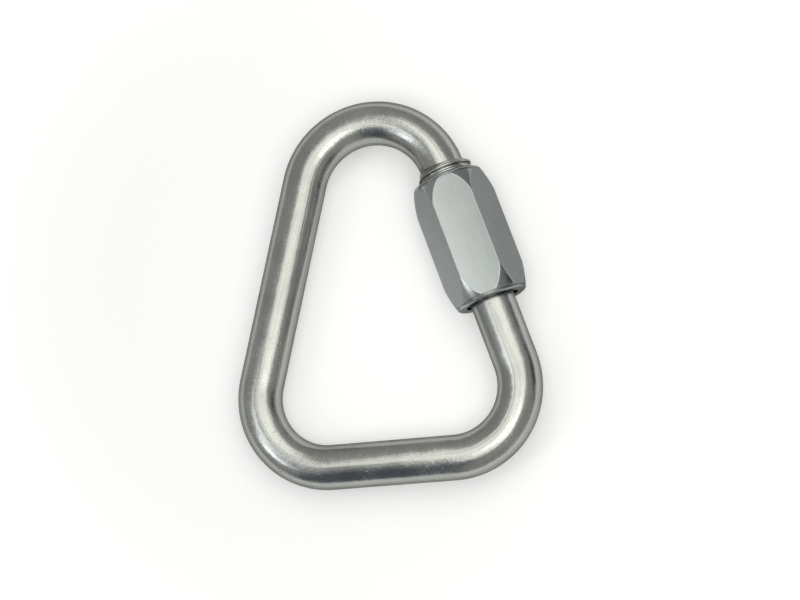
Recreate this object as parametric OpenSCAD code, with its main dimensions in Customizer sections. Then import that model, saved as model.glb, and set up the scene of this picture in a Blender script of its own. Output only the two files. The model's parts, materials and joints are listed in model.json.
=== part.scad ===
// Delta quick link: a bent round bar with a gap in one leg, closed by a long hexagonal sleeve nut.
// It lies at rest, on the nut's lower flat and on the base corner across from the nut.

/* [Bar] */
// Diameter of the round bar
rod_d = 10; // [8:0.25:12]
// Clear length inside the loop, from the base bar to the bow
inside_length = 66.8; // [60:0.2:80]
// Clear width inside the loop, along the base bar
inside_width = 48.8; // [44:0.2:60]
// Inside bend radius of the bow at the narrow end
bow_bend_r = 11.5; // [8:0.1:14]
// Inside bend radius of each base corner
corner_bend_r = 10.6; // [8:0.1:13]
// How much the bar is drawn thinner in its bends, on the radius
bend_thinning = 0.02; // [0.01:0.01:0.2]

/* [Gate] */
// Clear gap between the two threaded ends
gate_gap = 11; // [10.5:0.25:13]
// Height of the thread above the bar, at half the thread's depth
thread_rise = 1.1; // [0.8:0.05:1.6]
// Length of the thread on the end below the bow
upper_thread_len = 6.75; // [4:0.25:8]
// Length of the thread on the end of the lower leg
lower_thread_len = 9; // [6:0.25:11]
// Chamfer at both ends of each thread
thread_chamfer = 0.5; // [0.2:0.05:0.8]
// Straight plain bar between the bow and the upper thread
bow_setback = 0.5; // [0.3:0.1:3]

/* [Nut] */
// Length of the nut
nut_len = 29.4; // [26:0.2:32]
// Wall of the nut at the middle of a flat
nut_wall = 1.85; // [1.6:0.05:2.6]
// Running clearance between the nut and the threads, on the radius
thread_clearance = 0.05; // [0.02:0.01:0.1]
// Thread left showing above the closed nut
thread_showing = 2.6; // [0.5:0.1:3]
// Length of the rounded taper at each end of the nut
crown_len = 5.8; // [4:0.1:8]
// How far the taper's end lies inside the flats
crown_inset = 0.15; // [0.05:0.05:0.4]
// Bevel between the taper and the end face
lip = 1; // [0.2:0.05:1.2]
// How far the six long corners are blunted
corner_blunt = 0.1; // [0.05:0.01:0.3]
// Chamfer at each mouth of the nut's bore
mouth_chamfer = 0.35; // [0.1:0.05:0.5]

/* [Hidden] */
$fn = 96;

rod_r = rod_d / 2;
thread_r = rod_r + thread_rise;
bore_r = thread_r + thread_clearance;

// Bend centres of the loop, with the base bar's centre line on the X axis
bow_r = bow_bend_r + rod_r;
corner_r = corner_bend_r + rod_r;
corner_x = inside_width / 2 + rod_r - corner_r;
bow_y = inside_length + rod_d - bow_r;
run_on = sqrt(bend_thinning * min(bow_r, corner_r));

// Each leg is tangent to the bow and to a base corner
rise = bow_y - corner_r;
lean = acos((bow_r - corner_r) / norm([corner_x, rise])) - atan2(rise, corner_x);
leg_len = corner_x * sin(lean) + rise * cos(lean);
leg_up = [-sin(lean), cos(lean), 0];
leg_out = [cos(lean), sin(lean), 0];
leg_foot = [corner_x, corner_r, 0] + corner_r * leg_out;

// Stations along the nut's leg, from the end of the base corner up
upper_thread_top = leg_len - bow_setback;
upper_tip = upper_thread_top - upper_thread_len;
lower_tip = upper_tip - gate_gap;
upper_core = upper_tip + upper_thread_len / 2;
lower_core = lower_tip - lower_thread_len / 2;
nut_top = upper_thread_top - thread_showing;
nut_low = nut_top - nut_len;

// Hexagon of the nut and the arc of its tapered ends
nut_af = 2 * (bore_r + nut_wall);
hex_sides = 6;
hex_r = nut_af / 2 / cos(180 / hex_sides);
blunt_r = hex_r - corner_blunt;
crown_r = nut_af / 2 - crown_inset;
crown_drop = blunt_r - crown_r;
crown_arc_r = (crown_len ^ 2 + crown_drop ^ 2) / (2 * crown_drop);
crown_fn = 240;

// At rest the loop leans about the nut's axis until the far corner meets the ground
loop_span = 2 * (corner_x * cos(lean) + corner_r);
tilt = asin((nut_af / 2 - rod_r) / loop_span);

// Outer reach of the leaning loop along a level direction, for centring it on the origin
bends = [[0, bow_y, bow_r], [-corner_x, corner_r, corner_r], [corner_x, corner_r, corner_r]];
function leaned(dir) = dir - (1 - cos(tilt)) * (dir * leg_out) * leg_out;
function bend_reach(b, dir) = dir * leg_foot
    + ([b[0], b[1], 0] - leg_foot) * leaned(dir) + b[2] * norm(leaned(dir));
function reach(dir) = rod_r + max([for (b = bends) bend_reach(b, dir)]);
centre_x = (reach([1, 0, 0]) - reach([-1, 0, 0])) / 2;
centre_y = (reach([0, 1, 0]) - reach([0, -1, 0])) / 2;

// Stands the nut's axis at the height of its flat and centres the link
module laid_down()
    translate([-centre_x, -centre_y, nut_af / 2]) children();

// Leans the loop about the nut's axis
module leaned_loop()
    translate(leg_foot) rotate(a = -tilt, v = leg_up) translate(-leg_foot) children();

// Puts Z along the nut's leg, from a station measured up from the base corner
module on_leg(station)
    translate(leg_foot + station * leg_up) rotate([0, 0, lean]) rotate([-90, 0, 0]) children();

// Lays a straight length of the bar along Y and goes on from its end.
// The full thickness runs on a little way into the bends before and after it.
module straight(length, before = run_on, after = run_on) {
    translate([0, -before, 0]) rotate([-90, 0, 0]) cylinder(r = rod_r, h = before + length + after);
    translate([0, length, 0]) children();
}

// Bends the bar to the left and goes on from the end of the bend
module bend(bend_r, angle) translate([-bend_r, 0, 0]) {
    rotate_extrude(angle = angle) translate([bend_r, 0]) circle(r = rod_r - bend_thinning);
    rotate([0, 0, angle]) translate([bend_r, 0, 0]) children();
}

// Upset end at the thread's mid depth, chamfered at both ends
module threaded_end(length)
    rotate_extrude() polygon([
        [0, 0],
        [thread_r - thread_chamfer, 0],
        [thread_r, thread_chamfer],
        [thread_r, length - thread_chamfer],
        [thread_r - thread_chamfer, length],
        [0, length]
    ]);

module link_body()
    color([0.74, 0.75, 0.73]) laid_down() leaned_loop() {
        // The bar, bent from inside the upper thread round the loop to inside the lower thread
        translate(leg_foot + upper_core * leg_up) rotate([0, 0, lean])
            straight(leg_len - upper_core, before = 0)
            bend(bow_r, 180 - 2 * lean)
            straight(leg_len)
            bend(corner_r, 90 + lean)
            straight(2 * corner_x)
            bend(corner_r, 90 + lean)
            straight(lower_core, after = 0);
        on_leg(lower_tip - lower_thread_len) threaded_end(lower_thread_len);
        on_leg(upper_tip) threaded_end(upper_thread_len);
    }

// Half of the nut's turned outline: bevelled lip, rounded taper, then the blunted corners
module nut_half_outline() {
    polygon([[0, 0], [crown_r - lip, 0], [crown_r, lip], [0, lip]]);
    intersection() {
        translate([0, lip]) square([blunt_r, crown_len]);
        translate([blunt_r - crown_arc_r, lip + crown_len]) circle(r = crown_arc_r, $fn = crown_fn);
    }
    translate([0, lip + crown_len]) square([blunt_r, nut_len / 2 - lip - crown_len]);
}

// Bore of the nut with a chamfered mouth at each end
module nut_bore()
    rotate_extrude() polygon([
        [0, -mouth_chamfer],
        [bore_r + 2 * mouth_chamfer, -mouth_chamfer],
        [bore_r, mouth_chamfer],
        [bore_r, nut_len - mouth_chamfer],
        [bore_r + 2 * mouth_chamfer, nut_len + mouth_chamfer],
        [0, nut_len + mouth_chamfer]
    ]);

module sleeve_nut()
    color([0.78, 0.8, 0.79]) laid_down() on_leg(nut_low) difference() {
        intersection() {
            cylinder(r = hex_r, h = nut_len, $fn = hex_sides);
            rotate([0, 0, 180 / hex_sides]) rotate_extrude() {
                nut_half_outline();
                translate([0, nut_len]) mirror([0, 1]) nut_half_outline();
            }
        }
        nut_bore();
    }

link_body();
sleeve_nut();
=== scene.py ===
import json
import math

import bmesh
import bpy
from mathutils import Matrix, Vector


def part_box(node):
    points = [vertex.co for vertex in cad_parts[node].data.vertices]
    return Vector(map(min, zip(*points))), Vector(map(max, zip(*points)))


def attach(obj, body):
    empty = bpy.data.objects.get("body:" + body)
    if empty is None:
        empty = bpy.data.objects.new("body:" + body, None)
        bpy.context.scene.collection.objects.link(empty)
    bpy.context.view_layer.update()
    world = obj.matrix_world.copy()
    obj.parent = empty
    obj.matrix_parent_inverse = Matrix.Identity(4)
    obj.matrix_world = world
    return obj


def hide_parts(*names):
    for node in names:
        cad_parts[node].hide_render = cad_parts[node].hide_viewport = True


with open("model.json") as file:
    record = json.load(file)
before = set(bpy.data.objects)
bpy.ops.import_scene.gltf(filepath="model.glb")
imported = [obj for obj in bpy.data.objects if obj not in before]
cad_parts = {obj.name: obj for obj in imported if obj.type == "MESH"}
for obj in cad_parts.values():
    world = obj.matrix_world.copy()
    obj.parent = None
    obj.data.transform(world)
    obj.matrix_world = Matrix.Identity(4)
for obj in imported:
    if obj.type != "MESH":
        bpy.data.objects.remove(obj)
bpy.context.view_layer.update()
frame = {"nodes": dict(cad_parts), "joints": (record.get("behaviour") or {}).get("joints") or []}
mm = 0.001
print("frame loaded:", ", ".join(sorted(frame["nodes"])))

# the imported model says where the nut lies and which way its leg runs
nutBox = [Vector(corner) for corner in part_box("sleeve_nut")]
nutCentre = (nutBox[0] + nutBox[1]) / 2
flatHalf = (nutBox[1].z - nutBox[0].z) / 2 / mm  # half across flats, in mm
legUp = -Vector(frame["joints"][0]["axis"]).normalized()
legOut = Vector((legUp.y, -legUp.x, 0.0))
legDown = legUp.cross(legOut)  # third axis, straight down
lean = math.atan2(-legUp.x, legUp.y)

# the loop, in mm, with the base bar's centre line as its own X axis
loopSet = {
    "barRadius": 5.0,
    "bowBend": 16.5,  # bend radii at the middle of the bar
    "cornerBend": 15.6,
    "halfBase": 13.8,  # from the middle to each corner's bend centre
    "bowHeight": 60.3,  # from the base bar to the bow's bend centre
    "upperEnd": 7.25,  # upper threaded end's tip, below the start of the bow
    "upperThread": 7.6,
    "lowerThread": 9.0,
    "gateGap": 11.0,
    "nutTop": 3.1,  # closed nut's top, below the start of the bow
    "nutLength": 29.4,
}
legLength = (loopSet["halfBase"] * math.sin(lean)
             + (loopSet["bowHeight"] - loopSet["cornerBend"]) * math.cos(lean))
upperTip = legLength - loopSet["upperEnd"]
lowerTip = upperTip - loopSet["gateGap"]
nutMiddle = legLength - loopSet["nutTop"] - loopSet["nutLength"] / 2
legFoot = nutCentre - legUp * nutMiddle * mm  # where the nut's leg leaves its base corner

# both threads and the nut's bore share one thread form, in mm
threadSet = {
    "pitch": 1.25,
    "crest": 6.46,  # radius of the crests on the bar
    "depth": 0.72,
    "play": 0.06,  # nut's groove outside the bar's crest
    "crestShare": 0.2,  # share of the wave that is flat at crest and root
    "rowStep": 0.0625,
}


# node helpers, for geometry and for shaders
def addNode(tree, kind, **settings):
    node = tree.nodes.new(kind)
    for name, value in settings.items():
        setattr(node, name, value)
    return node


def feed(tree, socket, value):
    if isinstance(value, bpy.types.NodeSocket):
        tree.links.new(value, socket)
    else:
        socket.default_value = value


def reckon(tree, operation, *values):
    node = addNode(tree, "ShaderNodeMath", operation=operation)
    for socket, value in zip(node.inputs, values):
        feed(tree, socket, value)
    return node.outputs[0]


def reckonVector(tree, operation, *values):
    node = addNode(tree, "ShaderNodeVectorMath", operation=operation)
    inputs = node.inputs
    if operation == "SCALE":
        inputs = (node.inputs["Vector"], node.inputs["Scale"])
    for socket, value in zip(inputs, values):
        feed(tree, socket, value)
    return node.outputs["Value" if operation in ("DOT_PRODUCT", "LENGTH") else "Vector"]


def ramp(tree, value, fromLow, fromHigh, toLow=0.0, toHigh=1.0, form="SMOOTHSTEP"):
    node = addNode(tree, "ShaderNodeMapRange", interpolation_type=form, clamp=True)
    for name, number in (("Value", value), ("From Min", fromLow), ("From Max", fromHigh),
                         ("To Min", toLow), ("To Max", toHigh)):
        feed(tree, node.inputs[name], number)
    return node.outputs["Result"]


def newTree(name, inputs):
    tree = bpy.data.node_groups.new(name, "GeometryNodeTree")
    tree.interface.new_socket(name="Geometry", in_out="OUTPUT", socket_type="NodeSocketGeometry")
    tree.interface.new_socket(name="Geometry", in_out="INPUT", socket_type="NodeSocketGeometry")
    identifiers = {}
    for label, kind in inputs:
        socket = tree.interface.new_socket(
            name=label, in_out="INPUT", socket_type="NodeSocket" + kind)
        identifiers[label] = socket.identifier
    groupIn = addNode(tree, "NodeGroupInput")
    groupOut = addNode(tree, "NodeGroupOutput")
    return tree, groupIn, groupOut, identifiers


# bright zinc on drawn bar: streaks along it, orange peel, pits and pale blotches
barFinish = {
    "dark": (0.36, 0.369, 0.352),
    "pale": (0.455, 0.463, 0.438),
    "pitted": (0.16, 0.165, 0.16),
    "toneMix": (0.6, 0.5),  # shares of streaks and blotches in the tone
    "toneWhere": (0.35, 0.75),  # tones that turn from dark to pale
    "streakAcross": 2600.0,  # waves per metre
    "streakAlong": 55.0,
    "lineAcross": 900.0,  # the few deeper drawing lines
    "lineAlong": 7.0,
    "peel": 2300.0,
    "blotch": 170.0,
    "pits": 1500.0,
    "pitSize": 0.17,
    "pitWhere": (0.36, 0.58),  # blotch tones between which pits set in
    "pitShare": 0.4,  # darkening by pits and by drawing lines
    "lineWhere": (0.58, 0.68),
    "lineShare": 0.3,
    "blotchRelief": (0.0005, 0.2),  # height in m, and strength
    "streakRelief": (0.00004, 0.25),
    "lineRelief": (0.00004, 0.35),
    "peelRelief": (0.000025, 0.4),
    "pitRelief": (0.00004, 0.6),
    "roughMix": (0.4, 0.6),  # shares of peel and blotches in the roughness
    "roughWhere": (0.3, 0.7),
    "rough": (0.19, 0.29),
    "rimRough": 0.3,  # added where the bar turns away from the eye
    "rimWhere": (0.45, 0.85),
    "grazing": 0.02,  # brightness left at grazing angles
}


def newMaterial(name, grazing):
    material = bpy.data.materials.new(name)
    material.use_nodes = True
    tree = material.node_tree
    shader = tree.nodes["Principled BSDF"]
    shader.inputs["Metallic"].default_value = 1.0
    shader.inputs["Specular Tint"].default_value = (grazing, grazing, grazing, 1.0)
    return material, tree, shader


def noise(tree, vector, scale, detail=3.0, roughness=0.55):
    node = addNode(tree, "ShaderNodeTexNoise")
    feed(tree, node.inputs["Vector"], vector)
    node.inputs["Scale"].default_value = scale
    node.inputs["Detail"].default_value = detail
    node.inputs["Roughness"].default_value = roughness
    return node.outputs["Fac"]


def stretch(tree, vector, scale, turn=(0.0, 0.0, 0.0)):
    node = addNode(tree, "ShaderNodeMapping")
    feed(tree, node.inputs["Vector"], vector)
    node.inputs["Rotation"].default_value = turn
    node.inputs["Scale"].default_value = scale
    return node.outputs["Vector"]


def blend(tree, factor, first, second):
    node = addNode(tree, "ShaderNodeMix", data_type="RGBA")
    feed(tree, node.inputs[0], factor)
    feed(tree, node.inputs[6], (*first, 1.0) if isinstance(first, tuple) else first)
    feed(tree, node.inputs[7], (*second, 1.0) if isinstance(second, tuple) else second)
    return node.outputs[2]


def mixed(tree, first, second, shares):
    rest = reckon(tree, "MULTIPLY", second, shares[1])
    return reckon(tree, "MULTIPLY_ADD", first, shares[0], rest)


def relief(tree, height, distance, strength, before=None):
    node = addNode(tree, "ShaderNodeBump")
    node.inputs["Strength"].default_value = strength
    node.inputs["Distance"].default_value = distance
    feed(tree, node.inputs["Height"], height)
    if before is not None:
        feed(tree, node.inputs["Normal"], before)
    return node.outputs["Normal"]


def pitting(tree, vector, scale, size):
    cells = addNode(tree, "ShaderNodeTexVoronoi")
    feed(tree, cells.inputs["Vector"], vector)
    cells.inputs["Scale"].default_value = scale
    spread = addNode(tree, "ShaderNodeSeparateColor")
    feed(tree, spread.inputs[0], cells.outputs["Color"])
    reach = reckon(tree, "MULTIPLY", spread.outputs[0], size * 2)  # each cell has its own pit size
    return ramp(tree, reckon(tree, "SUBTRACT", reach, cells.outputs["Distance"]), 0.0, size)


def makeBarZinc():
    finish = barFinish
    material, tree, shader = newMaterial("barZinc", finish["grazing"])
    along = addNode(tree, "ShaderNodeAttribute", attribute_name="barCoord").outputs["Vector"]
    streakScale = (finish["streakAcross"], finish["streakAcross"], finish["streakAlong"])
    streak = noise(tree, stretch(tree, along, streakScale), 1.0, 4.0)
    lineScale = (finish["lineAcross"], finish["lineAcross"], finish["lineAlong"])
    lines = ramp(tree, noise(tree, stretch(tree, along, lineScale), 1.0, 2.0), *finish["lineWhere"])
    peel = noise(tree, along, finish["peel"], 2.0)
    blotch = noise(tree, along, finish["blotch"], 4.0, 0.6)
    pits = pitting(tree, along, finish["pits"], finish["pitSize"])
    pits = reckon(tree, "MULTIPLY", pits, ramp(tree, blotch, *finish["pitWhere"]))
    tone = ramp(tree, mixed(tree, streak, blotch, finish["toneMix"]), *finish["toneWhere"])
    colour = blend(tree, tone, finish["dark"], finish["pale"])
    marks = reckon(tree, "MAXIMUM", reckon(tree, "MULTIPLY", pits, finish["pitShare"]),
                   reckon(tree, "MULTIPLY", lines, finish["lineShare"]))
    colour = blend(tree, marks, colour, finish["pitted"])
    feed(tree, shader.inputs["Base Color"], colour)
    rough = mixed(tree, peel, blotch, finish["roughMix"])
    rough = ramp(tree, rough, *finish["roughWhere"], *finish["rough"])
    facing = addNode(tree, "ShaderNodeLayerWeight").outputs["Facing"]
    rim = ramp(tree, facing, *finish["rimWhere"], 0.0, finish["rimRough"])
    feed(tree, shader.inputs["Roughness"], reckon(tree, "ADD", rough, rim))
    normal = relief(tree, blotch, *finish["blotchRelief"])
    normal = relief(tree, streak, *finish["streakRelief"], normal)
    normal = relief(tree, reckon(tree, "SUBTRACT", 1.0, lines), *finish["lineRelief"], normal)
    normal = relief(tree, peel, *finish["peelRelief"], normal)
    normal = relief(tree, reckon(tree, "SUBTRACT", 1.0, pits), *finish["pitRelief"], normal)
    feed(tree, shader.inputs["Normal"], normal)
    return material


# satin zinc on the nut: faint milling along it, brighter rubbed edges, and painted shade that
# darkens the outer side while painted light brightens the inner side
nutFinish = {
    "dark": (0.268, 0.289, 0.286),
    "pale": (0.425, 0.45, 0.447),
    "edge": (0.44, 0.455, 0.45),
    "toneMix": (0.35, 0.2),  # shares of blotches and milling in the tone
    "toneWhere": (0.0, 0.55),  # tones that turn from dark to pale
    "millAcross": 1500.0,  # waves per metre
    "millAlong": 140.0,
    "grain": 5200.0,
    "blotch": 160.0,
    "scuffs": 420.0,
    "paintedSideShade": 0.34,  # painted shade and light: tone added on the inner side, taken off on the outer side
    "paintedShadeHalf": 0.007,
    "scuffWhere": (0.6, 0.72),
    "scuffShare": 0.35,
    "wearWhere": (0.3, 0.6),  # blotch tones between which the edges' wear grows
    "wear": (0.25, 0.8),
    "blotchRelief": (0.0004, 0.12),  # height in m, and strength
    "millRelief": (0.00003, 0.25),
    "grainRelief": (0.00002, 0.4),
    "scuffRelief": (0.00002, 0.4),
    "roughMix": (0.4, 0.6),  # shares of grain and blotches in the roughness
    "roughWhere": (0.3, 0.7),
    "rough": (0.4, 0.52),
    "edgeRough": 0.22,
    "turnedRough": 0.16,  # tapers, lips and blunted corners
    "leastRough": 0.096,
    "grazing": 0.32,
}


def makeNutZinc():
    finish = nutFinish
    material, tree, shader = newMaterial("nutZinc", finish["grazing"])
    place = addNode(tree, "ShaderNodeTexCoord").outputs["Object"]
    upright = stretch(tree, place, (1.0, 1.0, 1.0), (0.0, 0.0, -lean))  # Y then runs along the nut
    millScale = (finish["millAcross"], finish["millAlong"], finish["millAcross"])
    mill = noise(tree, stretch(tree, upright, millScale), 1.0, 3.0)
    grain = noise(tree, upright, finish["grain"], 2.0)
    blotch = noise(tree, upright, finish["blotch"], 4.0, 0.6)
    scuffs = ramp(tree, noise(tree, upright, finish["scuffs"], 6.0, 0.7), *finish["scuffWhere"])
    edge = addNode(tree, "ShaderNodeAttribute", attribute_name="rubbedEdge").outputs["Fac"]
    turned = addNode(tree, "ShaderNodeAttribute", attribute_name="turnedFace").outputs["Fac"]
    tone = mixed(tree, blotch, mill, finish["toneMix"])
    parts = addNode(tree, "ShaderNodeSeparateXYZ")
    feed(tree, parts.inputs[0], upright)
    # painted shade across the nut: the outer side is darkened and the inner side lightened,
    # standing in for how light falls on them
    middle = nutCentre.dot(legOut)
    side = ramp(tree, parts.outputs["X"], middle - finish["paintedShadeHalf"], middle + finish["paintedShadeHalf"],
                finish["paintedSideShade"], -finish["paintedSideShade"], "LINEAR")
    tone = ramp(tree, reckon(tree, "ADD", tone, side), *finish["toneWhere"], form="LINEAR")
    colour = blend(tree, tone, finish["dark"], finish["pale"])
    scuffed = reckon(tree, "MULTIPLY", scuffs, finish["scuffShare"])
    colour = blend(tree, scuffed, colour, finish["edge"])
    wear = ramp(tree, blotch, *finish["wearWhere"], *finish["wear"])
    wear = reckon(tree, "MULTIPLY", edge, wear)
    feed(tree, shader.inputs["Base Color"], blend(tree, wear, colour, finish["edge"]))
    rough = mixed(tree, grain, blotch, finish["roughMix"])
    rough = ramp(tree, rough, *finish["roughWhere"], *finish["rough"])
    least = finish["rough"][0]
    smooth = reckon(tree, "MULTIPLY", wear, finish["edgeRough"] - least)
    smooth = reckon(tree, "MULTIPLY_ADD", turned, finish["turnedRough"] - least, smooth)
    feed(tree, shader.inputs["Roughness"],
         reckon(tree, "MAXIMUM", reckon(tree, "ADD", rough, smooth), finish["leastRough"]))
    normal = relief(tree, blotch, *finish["blotchRelief"])
    normal = relief(tree, mill, *finish["millRelief"], normal)
    normal = relief(tree, grain, *finish["grainRelief"], normal)
    normal = relief(tree, scuffs, *finish["scuffRelief"], normal)
    feed(tree, shader.inputs["Normal"], normal)
    return material


barZinc = makeBarZinc()
nutZinc = makeNutZinc()
print("zinc finishes made")

# the link's bar: a path round the loop, swept and threaded by Geometry Nodes
barSet = {
    "sides": 96,
    "bendStep": 0.9,  # mm between sections
    "straightStep": 2.0,
    "drawnThinner": 0.025,  # off the radius, as in the bends
    "shoulderLead": 0.7,  # plain bar before the thread's rise, outside the loop
    "shoulderOut": 0.3,  # length of that rise, outside and inside the loop
    "shoulderIn": 3.0,
    "runOut": 2.6,  # grooves fade over this before the shoulder
    "runOutShare": 0.5,  # groove depth left at the shoulder
    "tipDrop": 0.35,  # tip's radius below the thread's root
}


def toWorld(x, y):
    # leans the loop about the nut's axis until its far corner meets the floor
    span = 2 * (loopSet["halfBase"] * math.cos(lean) + loopSet["cornerBend"])
    tilt = math.asin((flatHalf - loopSet["barRadius"]) / span)
    corner = loopSet["cornerBend"]
    ownFoot = Vector((loopSet["halfBase"], corner, 0)) + corner * legOut
    offset = Vector((x, y, 0)) - ownFoot
    outward = math.cos(tilt) * legOut - math.sin(tilt) * legDown
    return legFoot + (offset.dot(legUp) * legUp + offset.dot(legOut) * outward) * mm


def steps(start, end, step):
    count = max(1, math.ceil(abs(end - start) / step))
    return [start + (end - start) * i / count for i in range(count)]


def barPath():
    half, corner, bow = loopSet["halfBase"], loopSet["cornerBend"], loopSet["bowBend"]
    fine, bendStep, straightStep = threadSet["rowStep"], barSet["bendStep"], barSet["straightStep"]
    foot = Vector((half, corner, 0)) + corner * legOut

    def onLeg(station):
        point = foot + station * legUp
        return point.x, point.y

    def onArc(x, y, radius, angle):
        return x + radius * math.cos(angle), y + radius * math.sin(angle)

    # the upper thread's shoulder runs a little way into the bow
    bowStart = lean + max(fine, upperTip + loopSet["upperThread"] + fine - legLength) / bow
    points = [onLeg(s) for s in steps(upperTip, legLength, fine)]
    points += [onArc(0, loopSet["bowHeight"], bow, a) for a in steps(lean, bowStart, fine / bow)]
    points += [onArc(0, loopSet["bowHeight"], bow, a)
               for a in steps(bowStart, math.pi - lean, bendStep / bow)]
    points += [(-onLeg(s)[0], onLeg(s)[1]) for s in steps(legLength, 0, straightStep)]
    points += [onArc(-half, corner, corner, a)
               for a in steps(math.pi - lean, 1.5 * math.pi, bendStep / corner)]
    points += [(x, 0) for x in steps(-half, half, straightStep)]
    points += [onArc(half, corner, corner, a) for a in steps(-math.pi / 2, lean, bendStep / corner)]
    lowerStart = lowerTip - loopSet["lowerThread"]
    points += [onLeg(s) for s in steps(0, lowerStart - fine, straightStep)]
    points += [onLeg(s) for s in steps(lowerStart - fine, lowerTip, fine)]
    points.append(onLeg(lowerTip))
    return [toWorld(x, y) for x, y in points]


def buildSweepTree():
    sizes = ("Bar Radius", "Upper Thread", "Lower Thread", "Pitch", "Crest Radius", "Groove Depth",
             "Crest Share", "Shoulder Lead", "Shoulder Outside", "Shoulder Inside",
             "Run Out", "Run Out Share", "Tip Drop")
    vectors = ("Leg Foot", "Leg Up", "Leg Out", "Leg Down")
    tree, groupIn, groupOut, identifiers = newTree(
        "barSweep", [("Sides", "Int")] + [(label, "Float") for label in sizes]
        + [(label, "Vector") for label in vectors] + [("Finish", "Material")])
    size = {label: groupIn.outputs[label] for label in identifiers}

    def plus(a, b):
        return reckon(tree, "ADD", a, b)

    def less(a, b):
        return reckon(tree, "SUBTRACT", a, b)

    def times(a, b):
        return reckon(tree, "MULTIPLY", a, b)

    # the path keeps its centre line and length, the ring its angle
    path = addNode(tree, "GeometryNodeCaptureAttribute")
    path.capture_items.new("VECTOR", "Centre")
    path.capture_items.new("FLOAT", "Run")
    path.capture_items.new("FLOAT", "Whole")
    feed(tree, path.inputs["Geometry"], groupIn.outputs["Geometry"])
    feed(tree, path.inputs["Centre"], addNode(tree, "GeometryNodeInputPosition").outputs[0])
    feed(tree, path.inputs["Run"], addNode(tree, "GeometryNodeSplineParameter").outputs["Length"])
    feed(tree, path.inputs["Whole"], addNode(tree, "GeometryNodeSplineLength").outputs["Length"])
    circle = addNode(tree, "GeometryNodeCurvePrimitiveCircle", mode="RADIUS")
    feed(tree, circle.inputs["Resolution"], size["Sides"])
    feed(tree, circle.inputs["Radius"], size["Bar Radius"])
    ring = addNode(tree, "GeometryNodeCaptureAttribute")
    ring.capture_items.new("FLOAT", "Turn")
    feed(tree, ring.inputs["Geometry"], circle.outputs["Curve"])
    feed(tree, ring.inputs["Turn"], addNode(tree, "GeometryNodeSplineParameter").outputs["Factor"])
    tube = addNode(tree, "GeometryNodeCurveToMesh")
    feed(tree, tube.inputs["Curve"], path.outputs["Geometry"])
    feed(tree, tube.inputs["Profile Curve"], ring.outputs["Geometry"])
    tube.inputs["Fill Caps"].default_value = True

    # angle round the leg and height up it
    centre, run, whole = (path.outputs[label] for label in ("Centre", "Run", "Whole"))
    spoke = reckonVector(tree, "NORMALIZE", reckonVector(
        tree, "SUBTRACT", addNode(tree, "GeometryNodeInputPosition").outputs[0], centre))
    outShare = reckonVector(tree, "DOT_PRODUCT", spoke, size["Leg Out"])
    downShare = reckonVector(tree, "DOT_PRODUCT", spoke, size["Leg Down"])
    turn = times(reckon(tree, "ARCTAN2", downShare, outShare), 0.5 / math.pi)
    height = reckonVector(tree, "DOT_PRODUCT",
                          reckonVector(tree, "SUBTRACT", centre, size["Leg Foot"]), size["Leg Up"])

    # one thread wave: 0 at the root, 1 at the crest
    phase = reckon(tree, "FRACT", less(reckon(tree, "DIVIDE", height, size["Pitch"]), turn))
    wave = less(1.0, reckon(tree, "ABSOLUTE", less(times(phase, 2.0), 1.0)))
    wave = ramp(tree, wave, size["Crest Share"], less(1.0, size["Crest Share"]))

    # distance into each thread from its shoulder, and from the nearest tip
    intoUpper = less(size["Upper Thread"], run)
    intoLower = less(run, less(whole, size["Lower Thread"]))
    into = reckon(tree, "MAXIMUM", intoUpper, intoLower)
    fromTip = reckon(tree, "MINIMUM", run, less(whole, run))

    # the shoulder is short outside the loop and runs out slowly inside it
    inShare = reckon(tree, "POWER", times(less(1.0, outShare), 0.5), 4.0)
    lead = times(size["Shoulder Lead"], less(1.0, inShare))
    shoulder = plus(size["Shoulder Outside"],
                    times(inShare, less(size["Shoulder Inside"], size["Shoulder Outside"])))
    collar = ramp(tree, into, lead, plus(lead, shoulder), form="LINEAR")
    grooveShare = ramp(tree, into, 0.0, size["Run Out"], size["Run Out Share"], 1.0)
    depth = times(size["Groove Depth"], grooveShare)
    threaded = less(size["Crest Radius"], times(depth, less(1.0, wave)))
    radius = plus(size["Bar Radius"], times(collar, less(threaded, size["Bar Radius"])))
    tipRadius = less(less(size["Crest Radius"], size["Groove Depth"]), size["Tip Drop"])
    radius = reckon(tree, "MINIMUM", radius, plus(tipRadius, fromTip))
    shape = addNode(tree, "GeometryNodeSetPosition")
    feed(tree, shape.inputs["Geometry"], tube.outputs["Mesh"])
    feed(tree, shape.inputs["Position"],
         reckonVector(tree, "ADD", centre, reckonVector(tree, "SCALE", spoke, radius)))

    # the bar as it was before bending, so that streaks follow it
    angle = times(ring.outputs["Turn"], 2 * math.pi)
    unrolled = addNode(tree, "ShaderNodeCombineXYZ")
    feed(tree, unrolled.inputs["X"], times(size["Bar Radius"], reckon(tree, "COSINE", angle)))
    feed(tree, unrolled.inputs["Y"], times(size["Bar Radius"], reckon(tree, "SINE", angle)))
    feed(tree, unrolled.inputs["Z"], run)
    keep = addNode(tree, "GeometryNodeStoreNamedAttribute",
                   data_type="FLOAT_VECTOR", domain="POINT")
    keep.inputs["Name"].default_value = "barCoord"
    feed(tree, keep.inputs["Geometry"], shape.outputs["Geometry"])
    feed(tree, keep.inputs["Value"], unrolled.outputs["Vector"])
    real = addNode(tree, "GeometryNodeRealizeInstances")
    feed(tree, real.inputs["Geometry"], keep.outputs["Geometry"])
    coat = addNode(tree, "GeometryNodeSetMaterial")
    feed(tree, coat.inputs["Geometry"], real.outputs["Geometry"])
    feed(tree, coat.inputs["Material"], size["Finish"])
    feed(tree, groupOut.inputs["Geometry"], coat.outputs["Geometry"])
    return tree, identifiers


def newObject(name, data):
    thing = bpy.data.objects.new(name, data)
    bpy.context.scene.collection.objects.link(thing)
    return thing


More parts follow.
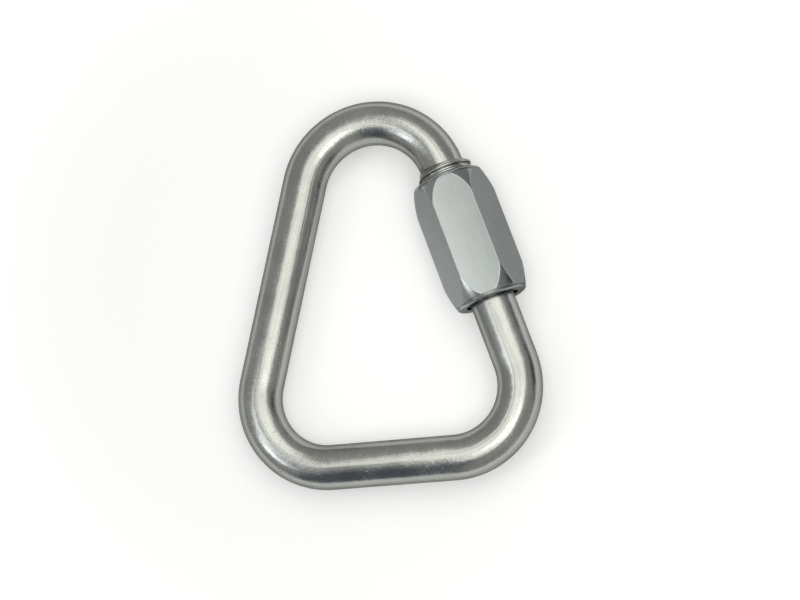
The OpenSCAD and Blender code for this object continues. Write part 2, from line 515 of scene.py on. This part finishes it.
def makeLinkBar():
    points = barPath()
    curve = bpy.data.curves.new("barPath", "CURVE")
    curve.dimensions = "3D"
    spline = curve.splines.new("POLY")
    spline.points.add(len(points) - 1)
    for point, place in zip(spline.points, points):
        point.co = (*place, 1.0)
    path = newObject("barPath", curve)
    tree, identifiers = buildSweepTree()
    sweep = path.modifiers.new("barSweep", "NODES")
    sweep.node_group = tree
    values = {
        "Sides": barSet["sides"],
        "Bar Radius": (loopSet["barRadius"] - barSet["drawnThinner"]) * mm,
        "Upper Thread": loopSet["upperThread"] * mm,
        "Lower Thread": loopSet["lowerThread"] * mm,
        "Pitch": threadSet["pitch"] * mm,
        "Crest Radius": threadSet["crest"] * mm,
        "Groove Depth": threadSet["depth"] * mm,
        "Crest Share": threadSet["crestShare"],
        "Shoulder Lead": barSet["shoulderLead"] * mm,
        "Shoulder Outside": barSet["shoulderOut"] * mm,
        "Shoulder Inside": barSet["shoulderIn"] * mm,
        "Run Out": barSet["runOut"] * mm,
        "Run Out Share": barSet["runOutShare"],
        "Tip Drop": barSet["tipDrop"] * mm,
        "Leg Foot": legFoot,
        "Leg Up": legUp,
        "Leg Out": legOut,
        "Leg Down": legDown,
        "Finish": barZinc,
    }
    for label, value in values.items():
        sweep[identifiers[label]] = value
    shown = path.evaluated_get(bpy.context.evaluated_depsgraph_get())
    mesh = bpy.data.meshes.new_from_object(shown)
    mesh.name = "linkBar"
    bpy.data.objects.remove(path)
    bpy.data.curves.remove(curve)
    for face in mesh.polygons:
        face.use_smooth = len(face.vertices) == 4  # the two tips stay flat
    return newObject("linkBar", mesh)


linkBar = makeLinkBar()
print("link bar swept:", len(linkBar.data.polygons), "faces")

# the sleeve nut, in mm about its own axis: Z up the leg, X outwards
nutSet = {
    "taper": 5.75,  # length of the rounded taper at each end
    "taperStart": 0.12,  # its slope at the long corners, and where it meets the lip
    "taperEnd": 0.32,
    "lipRadius": 7.98,  # taper's end, just inside the flats
    "lip": ((42, 0.5), (68, 0.9), (90, 0.9)),  # rounds to the end face: slope in degrees, radius
    "groove": (0.5, 0.22),  # between lip and taper: width and depth
    "grooveRows": 14,
    "cornerBlunt": 0.05,
    "edgeRound": 0.16,
    "sharpRow": 0.12,  # support row beside each rounded edge
    "mouth": 5.95,  # plain bore at the lower end
    "mouthLength": 2.2,
    "topMouth": 6.62,
    "mouthRound": 0.15,
    "lipRows": 8,  # in each round of the lip
    "taperRows": 26,
    "flatColumns": 9,
    "crownColumns": 12,
    "rowStep": 1.0,
    "weld": 0.0005,  # points nearer than this become one
    "sliver": 0.0002,
}


def nutProfile():
    # half of the turned outline, as distances from its end with their radii
    corner = flatHalf / math.cos(math.pi / 6) - nutSet["cornerBlunt"]
    startTurn, endTurn = math.atan(nutSet["taperStart"]), math.atan(nutSet["taperEnd"])
    lipRows = [(0.0, nutSet["lipRadius"])]
    turn = endTurn
    for slope, rounding in nutSet["lip"]:
        before, lipStart = turn, lipRows[-1]
        turn = math.radians(slope)
        for i in range(1, nutSet["lipRows"] + 1):
            a = before + (turn - before) * i / nutSet["lipRows"]
            lipRows.append((lipStart[0] - rounding * (math.sin(a) - math.sin(before)),
                            lipStart[1] - rounding * (math.cos(before) - math.cos(a))))
    lipEnd = -lipRows[-1][0]
    rows = [(lipEnd + distance, radius) for distance, radius in reversed(lipRows)]

    # rows lie close together at the tips of the flats, then evenly along the nut
    arc = nutSet["taper"] / (math.sin(endTurn) - math.sin(startTurn))
    arcMiddle = arc * math.sin(endTurn)
    arcCentre = nutSet["lipRadius"] - arc * math.cos(endTurn)
    width, depth = nutSet["groove"]
    distances = steps(0.0, width, width / nutSet["grooveRows"])[1:]
    taperRows = nutSet["taperRows"]
    distances += [width + (nutSet["taper"] - width) * (i / taperRows) ** 2
                  for i in range(taperRows + 1)]
    for distance in distances:
        radius = arcCentre + math.sqrt(arc ** 2 - (arcMiddle - distance) ** 2)
        if distance < width:
            radius -= depth * math.sin(math.pi * distance / width) ** 2
        rows.append((lipEnd + distance, min(corner, radius)))
    start = rows[-1][0]
    middle = loopSet["nutLength"] / 2 - start
    count = math.ceil(middle / nutSet["rowStep"])
    rows.append((start + nutSet["sharpRow"], corner))
    rows += [(start + middle * i / count, corner) for i in range(1, count + 1)]
    return rows


def nutSection(radius):
    # one turn of the outline: six flats joined by arcs, each edge rounded
    points = []
    half = min(flatHalf, radius)  # past the flats' tips the section is round
    flatTurned = 1.0 if radius < flatHalf else 0.0
    angle = math.acos(half / radius)
    width = half * math.tan(angle)
    arcHalf = math.pi / 6 - angle
    # the edge's round shrinks where the flat or the arc beside it runs out
    rounded = min(nutSet["edgeRound"], 0.35 * width, 0.7 * arcHalf * radius)
    near = min(rounded + nutSet["sharpRow"], 0.6 * width)
    columns = nutSet["flatColumns"]
    spread = [-(width - rounded), -(width - near)]
    spread += [(width - near) * (2 * i / (columns - 1) - 1) for i in range(1, columns - 1)]
    spread += [width - near, width - rounded]
    arcStart = angle + rounded / radius
    arcCount = nutSet["crownColumns"]

    def way(turn):
        return Vector((math.cos(turn), math.sin(turn)))

    def edgePoint(flatTurn, hand):
        # top of the round between a flat and the arc on that hand of it
        across = way(flatTurn)
        beside = hand * Vector((-across.y, across.x))
        corner = across * half + beside * width
        onFlat = across * half + beside * (width - rounded)
        onArc = radius * way(flatTurn + hand * arcStart)
        return 0.25 * onFlat + 0.5 * corner + 0.25 * onArc

    # each point comes with its share of rubbed edge and of turned face
    for side in range(6):
        middle = math.pi / 2 + side * math.pi / 3
        across = way(middle)
        beside = Vector((-across.y, across.x))
        for s in spread:
            points.append((across * half + beside * s, 0.0, flatTurned))
        points.append((edgePoint(middle, 1), 1.0, 1.0))
        for i in range(arcCount + 1):
            a = middle + arcStart + (math.pi / 3 - 2 * arcStart) * i / arcCount
            points.append((radius * way(a), 0.0, 1.0))
        points.append((edgePoint(middle + math.pi / 3, -1), 1.0, 1.0))
    return points


def boreRadius(angle, height):
    # the nut's own thread, in step with the bar's; height is up from the nut's middle
    station = nutMiddle + height
    phase = (station / threadSet["pitch"] - angle / (2 * math.pi)) % 1.0
    share = threadSet["crestShare"]
    wave = min(1.0, max(0.0, (1 - abs(2 * phase - 1) - share) / (1 - 2 * share)))
    wave = wave * wave * (3 - 2 * wave)
    major = threadSet["crest"] + threadSet["play"]
    radius = major - threadSet["depth"] * (1 - wave)
    fromLow = height + loopSet["nutLength"] / 2
    fromTop = loopSet["nutLength"] / 2 - height
    rounding = nutSet["mouthRound"]
    plain = nutSet["mouth"] + rounding * max(0.0, 1 - fromLow / rounding) ** 2
    fade = min(1.0, max(0.0, (fromLow - nutSet["mouthLength"]) / threadSet["pitch"]))
    radius = plain + (radius - plain) * fade
    return max(radius, nutSet["topMouth"] - fromTop)


def makeSleeveNut():
    length = loopSet["nutLength"]
    outline = [(distance - length / 2, radius) for distance, radius in nutProfile()]
    outline += [(-height, radius) for height, radius in reversed(outline[:-1])]
    rings = []
    for height, radius in outline:
        rings.append([(p.x, p.y, height, edge, turned) for p, edge, turned in nutSection(radius)])
    columns = len(rings[0])
    # back down the bore, with its columns beside those of the outside
    start = math.pi / 2 - math.pi * (nutSet["flatColumns"] + 1) / columns
    angles = [start + 2 * math.pi * i / columns for i in range(columns)]
    boreRows = math.ceil(length / (2 * threadSet["rowStep"]))
    for i in range(boreRows + 1):
        h = length / 2 - length * i / boreRows
        ring = []
        for a in angles:
            r = boreRadius(-a, h)
            ring.append((r * math.cos(a), r * math.sin(a), h, 0.0, 1.0))
        rings.append(ring)

    turn = Matrix((legOut, -legDown, legUp)).transposed()
    mesh = bpy.data.meshes.new("sleeveNut")
    shape = bmesh.new()
    edgeLayer = shape.verts.layers.float.new("rubbedEdge")
    turnedLayer = shape.verts.layers.float.new("turnedFace")
    grid = []
    for ring in rings:
        line = []
        for x, y, z, edge, turned in ring:
            vert = shape.verts.new(nutCentre + turn @ Vector((x, y, z)) * mm)
            vert[edgeLayer] = edge
            vert[turnedLayer] = turned
            line.append(vert)
        grid.append(line)
    for i, line in enumerate(grid):
        nextLine = grid[(i + 1) % len(grid)]
        for j in range(columns):
            k = (j + 1) % columns
            shape.faces.new((line[j], line[k], nextLine[k], nextLine[j]))
    # past the tips of the flats their columns run together
    bmesh.ops.remove_doubles(shape, verts=shape.verts, dist=nutSet["weld"] * mm)
    bmesh.ops.dissolve_degenerate(shape, edges=shape.edges, dist=nutSet["sliver"] * mm)
    bmesh.ops.recalc_face_normals(shape, faces=shape.faces)
    for face in shape.faces:
        face.smooth = True
    shape.to_mesh(mesh)
    shape.free()
    mesh.materials.append(nutZinc)
    return newObject("sleeveNut", mesh)


sleeveNut = makeSleeveNut()
print("sleeve nut built:", len(sleeveNut.data.polygons), "faces")

for piece, body, node, slot in ((linkBar, "link", "link_body", "bar_zinc"),
                                (sleeveNut, "nut", "sleeve_nut", "nut_zinc")):
    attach(piece, body)
    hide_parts(node)

# floor, soft lights and a room that is darker in front and low on the right
stageSet = {
    "floorSize": 40.0,
    "floorColour": (0.82, 0.82, 0.82, 1.0),
    "floorLift": (0.26, 0.6),  # own glow of the floor at the middle and away from it
    "floorFade": (0.05, 0.17),  # distances in m between which it grows
    "room": (0.42, 0.42, 0.41),
    "frontDark": (0.095, 0.117, 0.145),
    "frontTurn": 248,  # degrees from +X, and half its width
    "frontHalf": 16.5,
    "frontSoft": 5,
    "frontTop": (0.9, 0.98),  # upward share of a ray where the dark front fades out
    "rightDark": (0.04, 0.04, 0.04),
    "rightWay": (0.987, 0.161, 0.02),
    "rightEdge": (0.87, 0.986),
}
# each lamp is a level panel: middle and size in mm, turn in degrees, radiance, colour
lampSet = {
    "overheadLamp": ((46, 26, 154), (172, 196), -22.5, 1.28, (1.0, 1.0, 0.94)),
    "frontLamp": ((59, -130, 303), (186, 140), -3, 1.9, (1.0, 1.0, 0.94)),
    "backLamp": ((94, 191, 544), (406, 209), -19, 0.4, (1.0, 1.0, 0.94)),
    "sideWindow": ((-318, -120, 319), (397, 88), 34, 1.9, (0.92, 0.965, 1.0)),
    "lowWindow": ((-340, -200, 325), (170, 110), 28, 2.5, (0.92, 0.965, 1.0)),
}


def seenRays(tree):
    path = addNode(tree, "ShaderNodeLightPath")
    seen = reckon(tree, "MAXIMUM", path.outputs["Is Camera Ray"], path.outputs["Is Glossy Ray"])
    return reckon(tree, "MAXIMUM", seen, path.outputs["Is Transmission Ray"])


def makeFloor():
    half = stageSet["floorSize"] / 2
    mesh = bpy.data.meshes.new("floor")
    corners = [(-half, -half, 0), (half, -half, 0), (half, half, 0), (-half, half, 0)]
    mesh.from_pydata(corners, [], [(0, 1, 2, 3)])
    floor = newObject("floor", mesh)
    material = bpy.data.materials.new("paleFloor")
    material.use_nodes = True
    tree = material.node_tree
    tree.nodes.clear()
    matt = addNode(tree, "ShaderNodeBsdfDiffuse")
    matt.inputs["Color"].default_value = stageSet["floorColour"]
    glow = addNode(tree, "ShaderNodeEmission")
    place = addNode(tree, "ShaderNodeTexCoord").outputs["Object"]
    away = reckonVector(tree, "LENGTH", place)
    lift = ramp(tree, away, *stageSet["floorFade"], *stageSet["floorLift"])
    feed(tree, glow.inputs["Strength"], reckon(tree, "MULTIPLY", seenRays(tree), lift))
    both = addNode(tree, "ShaderNodeAddShader")
    feed(tree, both.inputs[0], matt.outputs[0])
    feed(tree, both.inputs[1], glow.outputs[0])
    feed(tree, addNode(tree, "ShaderNodeOutputMaterial").inputs["Surface"], both.outputs[0])
    mesh.materials.append(material)


def makeRoom():
    world = bpy.data.worlds.new("room")
    bpy.context.scene.world = world
    world.use_nodes = True
    tree = world.node_tree
    back = tree.nodes["Background"]
    way = reckonVector(tree, "NORMALIZE", addNode(tree, "ShaderNodeTexCoord").outputs["Generated"])
    part = addNode(tree, "ShaderNodeSeparateXYZ")
    feed(tree, part.inputs[0], way)
    flat = addNode(tree, "ShaderNodeCombineXYZ")
    feed(tree, flat.inputs["X"], part.outputs["X"])
    feed(tree, flat.inputs["Y"], part.outputs["Y"])
    level = reckonVector(tree, "NORMALIZE", flat.outputs[0])
    turn = math.radians(stageSet["frontTurn"])
    half, soft = math.radians(stageSet["frontHalf"]), math.radians(stageSet["frontSoft"])
    frontWay = (math.cos(turn), math.sin(turn), 0.0)
    front = ramp(tree, reckonVector(tree, "DOT_PRODUCT", level, frontWay),
                 math.cos(half + soft), math.cos(half - soft))
    belowTop = ramp(tree, part.outputs["Z"], *stageSet["frontTop"], 1.0, 0.0)
    front = reckon(tree, "MULTIPLY", front, belowTop)
    rightWay = tuple(Vector(stageSet["rightWay"]).normalized())
    right = reckonVector(tree, "DOT_PRODUCT", way, rightWay)
    right = ramp(tree, right, *stageSet["rightEdge"])
    colour = blend(tree, front, stageSet["room"], stageSet["frontDark"])
    feed(tree, back.inputs["Color"], blend(tree, right, colour, stageSet["rightDark"]))
    back.inputs["Strength"].default_value = 1.0


def makeLamp(name, middle, size, turn, radiance, colour):
    lamp = bpy.data.lights.new(name, "AREA")
    lamp.shape = "RECTANGLE"
    lamp.size = size[0] * mm
    lamp.size_y = size[1] * mm
    lamp.energy = radiance * math.pi * lamp.size * lamp.size_y
    lamp.color = colour
    panel = newObject(name, lamp)
    panel.location = Vector(middle) * mm
    panel.rotation_euler = (0.0, 0.0, math.radians(turn))
    panel.visible_camera = False


makeFloor()
makeRoom()
for lampName, lampValues in lampSet.items():
    makeLamp(lampName, *lampValues)

# the camera stands almost straight above, a little in front and to the right
cameraSet = {
    "place": (49.19, -57.00, 340.68),  # mm
    "aim": (4.26, -2.73, 8.0),
    "turn": 4.04,  # picture's upright, degrees from +Y towards +X
    "lens": 68.83,
}


def makeCamera():
    view = bpy.data.cameras.new("camera")
    view.lens = cameraSet["lens"]
    view.sensor_width = 36.0
    view.clip_start = 0.01
    camera = newObject("camera", view)
    place = Vector(cameraSet["place"]) * mm
    ahead = (Vector(cameraSet["aim"]) * mm - place).normalized()
    turn = math.radians(cameraSet["turn"])
    right = ahead.cross(Vector((math.sin(turn), math.cos(turn), 0))).normalized()
    camera.matrix_world = Matrix.Translation(place) @ Matrix(
        (right, right.cross(ahead), -ahead)).transposed().to_4x4()
    bpy.context.scene.camera = camera


makeCamera()
bpy.context.scene.view_settings.view_transform = "Standard"
print("stage, lamps and camera set")
